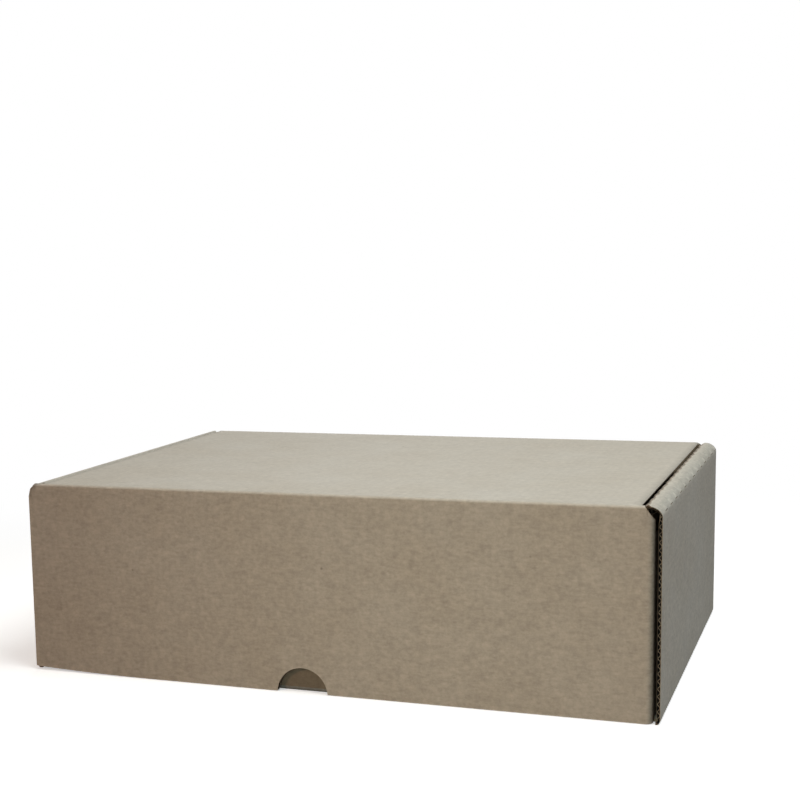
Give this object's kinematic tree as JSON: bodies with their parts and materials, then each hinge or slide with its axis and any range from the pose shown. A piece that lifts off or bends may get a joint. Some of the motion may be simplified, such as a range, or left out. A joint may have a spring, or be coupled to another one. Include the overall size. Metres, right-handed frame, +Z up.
{
  "type": "cardboard box",
  "caption": "Folded mailing box of thin corrugated board with rolled side walls, a lid between the rolls and a hinged front closing flap with a thumb notch.",
  "frame": {"origin": "middle of the box's footprint, on the surface it stands on", "axes": "+X to the right seen from the front, +Y from the front flap to the back wall, +Z up"},
  "size_m": [0.3, 0.19, 0.092],
  "materials": {
    "kraft_board": "uncoated brown kraft paper, matt, with fine fibres",
    "kraft_board_front": "uncoated brown kraft paper, matt, with fine fibres"
  },
  "bodies": {
    "tray": {"tray_and_lid": "kraft_board"},
    "flap": {"front_flap": "kraft_board_front"}
  },
  "joints": [
    {"name": "front_flap_crease", "type": "hinge", "parent": "tray", "child": "flap", "pos_m": [0, -0.09415, 0.09115], "axis": [-1, 0, 0], "range_deg": [0, 90]}
  ]
}
